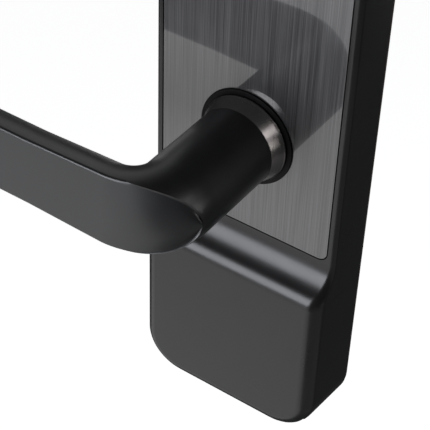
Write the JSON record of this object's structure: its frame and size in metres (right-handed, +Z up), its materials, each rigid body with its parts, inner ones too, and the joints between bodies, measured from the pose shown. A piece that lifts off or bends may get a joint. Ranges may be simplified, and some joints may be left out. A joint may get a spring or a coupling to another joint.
{
  "type": "keypad smart lock",
  "caption": "Outside unit of a keypad door lock: long plate with keypad, down-turning lever, motor clutch on a square spindle and a battery tray in the lower bulge.",
  "frame": {"origin": "where the lever's and spindle's axis meets the door's face", "axes": "+Y into the door along the spindle, -Y out of the door's face, +Z up the long plate, +X right as seen from outside"},
  "size_m": [0.1585, 0.1056, 0.29],
  "materials": {
    "satin_black": "satin",
    "satin_black_lever": "satin",
    "dark_brushed": "brushed under a clear coat",
    "black_chrome": "polished",
    "plate_steel": "zinc plated",
    "bright_steel": "plain",
    "spring_steel": "plain",
    "brass": "plain",
    "contact_brass": "plain",
    "gasket_rubber": "matte",
    "black_rubber": "matte",
    "silicone": "matte",
    "gloss_black": "gloss",
    "key_plastic": "fine grain",
    "clear_lens": "clear",
    "board_green": "solder mask",
    "component_black": "matte",
    "black_nylon": "matte",
    "white_nylon": "matte",
    "cell_wrap": "gloss",
    "lead_insulation": "matte"
  },
  "bodies": {
    "body": {"housing": "satin_black", "gasket": "gasket_rubber", "back_plate": "plate_steel", "fixing_posts": "bright_steel", "plate_screws": "bright_steel", "cable_grommet": "black_rubber", "faceplate": "dark_brushed", "keypad_bezel": "gloss_black", "status_lens": "clear_lens", "keypad_membrane": "silicone", "main_board": "board_green", "board_components": "component_black", "board_screws": "bright_steel", "lever_bush": "black_nylon", "thrust_washer": "white_nylon", "return_spring": "spring_steel", "stop_plate": "plate_steel", "stop_screws": "bright_steel", "motor_gearbox": "brass", "motor_can": "bright_steel", "motor_bracket": "white_nylon", "bracket_screws": "bright_steel", "slider_guide": "white_nylon", "latch_nut": "plate_steel", "bay_terminal": "white_nylon", "battery_lead": "lead_insulation"},
    "lever": {"lever": "satin_black_lever", "lever_collar": "black_chrome", "lever_hub": "bright_steel", "hub_washer": "bright_steel", "hub_screw": "bright_steel"},
    "spindle": {"spindle_driver": "brass", "spindle": "bright_steel"},
    "clutch_pin": {"clutch_pin": "bright_steel", "pin_spring": "spring_steel"},
    "clutch_slider": {"clutch_slider": "white_nylon"},
    "lead_screw": {"lead_screw": "brass"},
    "battery_tray": {"battery_tray": "black_nylon", "tray_cap": "satin_black", "battery_cells": "cell_wrap", "contact_springs": "contact_brass", "contact_plates": "contact_brass", "tray_blades": "contact_brass", "cap_screw": "bright_steel"},
    "key_1": {"key_1": "key_plastic"},
    "key_2": {"key_2": "key_plastic"},
    "key_3": {"key_3": "key_plastic"},
    "key_4": {"key_4": "key_plastic"},
    "key_5": {"key_5": "key_plastic"},
    "key_6": {"key_6": "key_plastic"},
    "key_7": {"key_7": "key_plastic"},
    "key_8": {"key_8": "key_plastic"},
    "key_9": {"key_9": "key_plastic"},
    "key_clear": {"key_clear": "key_plastic"},
    "key_0": {"key_0": "key_plastic"},
    "key_enter": {"key_enter": "key_plastic"}
  },
  "joints": [
    {"name": "lever_turn", "type": "hinge", "parent": "body", "child": "lever", "pos_m": [0, 0, 0], "axis": [0, -1, 0], "range_deg": [0, 45], "stiffness_Nm_per_rad": 1.2, "springref_deg": -20.05, "deforming": ["return_spring"]},
    {"name": "spindle_turn", "type": "hinge", "parent": "body", "child": "spindle", "pos_m": [0, 0, 0], "axis": [0, -1, 0], "range_deg": [0, 45]},
    {"name": "clutch_slide", "type": "slide", "parent": "body", "child": "clutch_slider", "axis": [0, 0, 1], "range_m": [0, 0.0034]},
    {"name": "clutch_pin_slide", "type": "slide", "parent": "lever", "child": "clutch_pin", "axis": [0, 0, 1], "range_m": [0, 0.00211], "deforming": ["pin_spring"]},
    {"name": "lead_screw_turn", "type": "hinge", "parent": "body", "child": "lead_screw", "pos_m": [0, -0.0074, 0], "axis": [0, 0, 1], "range_deg": [0, 720]},
    {"name": "battery_tray_slide", "type": "slide", "parent": "body", "child": "battery_tray", "axis": [0, 0, -1], "range_m": [0, 0.054]},
    {"name": "key_1_press", "type": "slide", "parent": "body", "child": "key_1", "axis": [0, 1, 0], "range_m": [0, 0.0008], "stiffness_N_per_m": 900, "springref_m": -0.0004, "deforming": ["keypad_membrane"]},
    {"name": "key_2_press", "type": "slide", "parent": "body", "child": "key_2", "axis": [0, 1, 0], "range_m": [0, 0.0008], "stiffness_N_per_m": 900, "springref_m": -0.0004, "deforming": ["keypad_membrane"]},
    {"name": "key_3_press", "type": "slide", "parent": "body", "child": "key_3", "axis": [0, 1, 0], "range_m": [0, 0.0008], "stiffness_N_per_m": 900, "springref_m": -0.0004, "deforming": ["keypad_membrane"]},
    {"name": "key_4_press", "type": "slide", "parent": "body", "child": "key_4", "axis": [0, 1, 0], "range_m": [0, 0.0008], "stiffness_N_per_m": 900, "springref_m": -0.0004, "deforming": ["keypad_membrane"]},
    {"name": "key_5_press", "type": "slide", "parent": "body", "child": "key_5", "axis": [0, 1, 0], "range_m": [0, 0.0008], "stiffness_N_per_m": 900, "springref_m": -0.0004, "deforming": ["keypad_membrane"]},
    {"name": "key_6_press", "type": "slide", "parent": "body", "child": "key_6", "axis": [0, 1, 0], "range_m": [0, 0.0008], "stiffness_N_per_m": 900, "springref_m": -0.0004, "deforming": ["keypad_membrane"]},
    {"name": "key_7_press", "type": "slide", "parent": "body", "child": "key_7", "axis": [0, 1, 0], "range_m": [0, 0.0008], "stiffness_N_per_m": 900, "springref_m": -0.0004, "deforming": ["keypad_membrane"]},
    {"name": "key_8_press", "type": "slide", "parent": "body", "child": "key_8", "axis": [0, 1, 0], "range_m": [0, 0.0008], "stiffness_N_per_m": 900, "springref_m": -0.0004, "deforming": ["keypad_membrane"]},
    {"name": "key_9_press", "type": "slide", "parent": "body", "child": "key_9", "axis": [0, 1, 0], "range_m": [0, 0.0008], "stiffness_N_per_m": 900, "springref_m": -0.0004, "deforming": ["keypad_membrane"]},
    {"name": "key_clear_press", "type": "slide", "parent": "body", "child": "key_clear", "axis": [0, 1, 0], "range_m": [0, 0.0008], "stiffness_N_per_m": 900, "springref_m": -0.0004, "deforming": ["keypad_membrane"]},
    {"name": "key_0_press", "type": "slide", "parent": "body", "child": "key_0", "axis": [0, 1, 0], "range_m": [0, 0.0008], "stiffness_N_per_m": 900, "springref_m": -0.0004, "deforming": ["keypad_membrane"]},
    {"name": "key_enter_press", "type": "slide", "parent": "body", "child": "key_enter", "axis": [0, 1, 0], "range_m": [0, 0.0008], "stiffness_N_per_m": 900, "springref_m": -0.0004, "deforming": ["keypad_membrane"]}
  ],
  "couplings": [
    {"joint": "spindle_turn", "follows": "lever_turn", "ratio": 1},
    {"joint": "lead_screw_turn", "follows": "clutch_slide", "rad_per_m": 3696},
    {"joint": "clutch_pin_slide", "follows": "clutch_slide", "ratio": 0.62}
  ]
}
